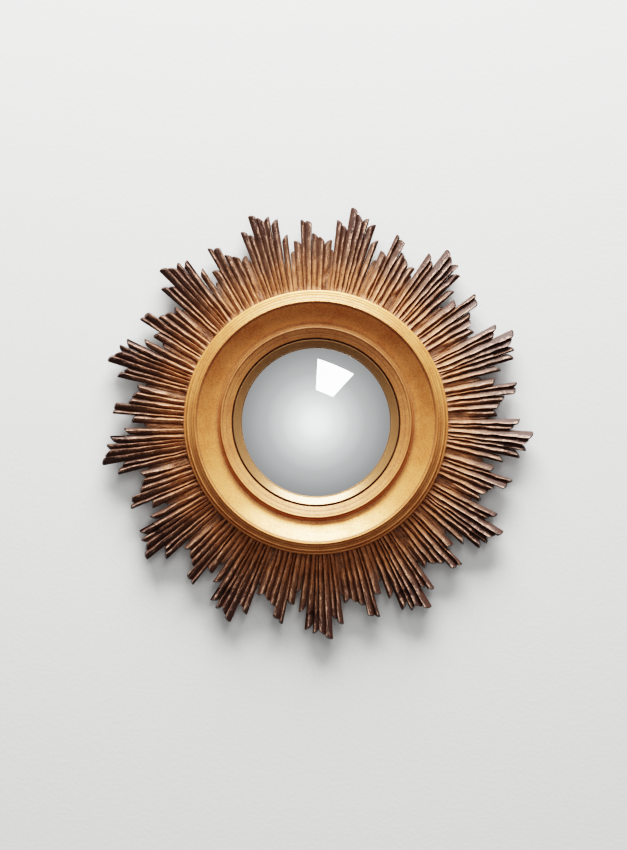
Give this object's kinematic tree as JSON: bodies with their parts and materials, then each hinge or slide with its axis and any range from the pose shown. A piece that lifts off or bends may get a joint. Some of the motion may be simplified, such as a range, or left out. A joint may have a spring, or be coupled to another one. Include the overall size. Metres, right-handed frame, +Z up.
{
  "type": "wall mirror",
  "caption": "Round convex wall mirror in a wide gilded moulding, set in a cast sunburst of carved ridged rays of uneven length, with a flat back that hangs on a wall.",
  "frame": {"origin": "middle of the back board's flat back, which lies on the wall, on the axis of the glass", "axes": "+Z up, -Y from the wall towards the person who looks in the glass, +X to that person's right"},
  "size_m": [0.4366, 0.0443, 0.4376],
  "materials": {
    "rays": "cast resin, copper-brown patina, darker at the tips, rubbed lighter on the ridges",
    "gold": "cast resin with satin gold leaf, lightly worn",
    "aged_gold": "cast resin with aged gold leaf",
    "mirror": "polished, silvered on the back",
    "board": "plain fibreboard",
    "zinc": "dull zinc"
  },
  "bodies": {
    "root": {"sunburst": "rays", "gold_moulding": "gold", "sight_ring": "aged_gold", "mirror_glass": "mirror", "back_board": "board", "hanger_plate": "zinc"}
  },
  "joints": []
}
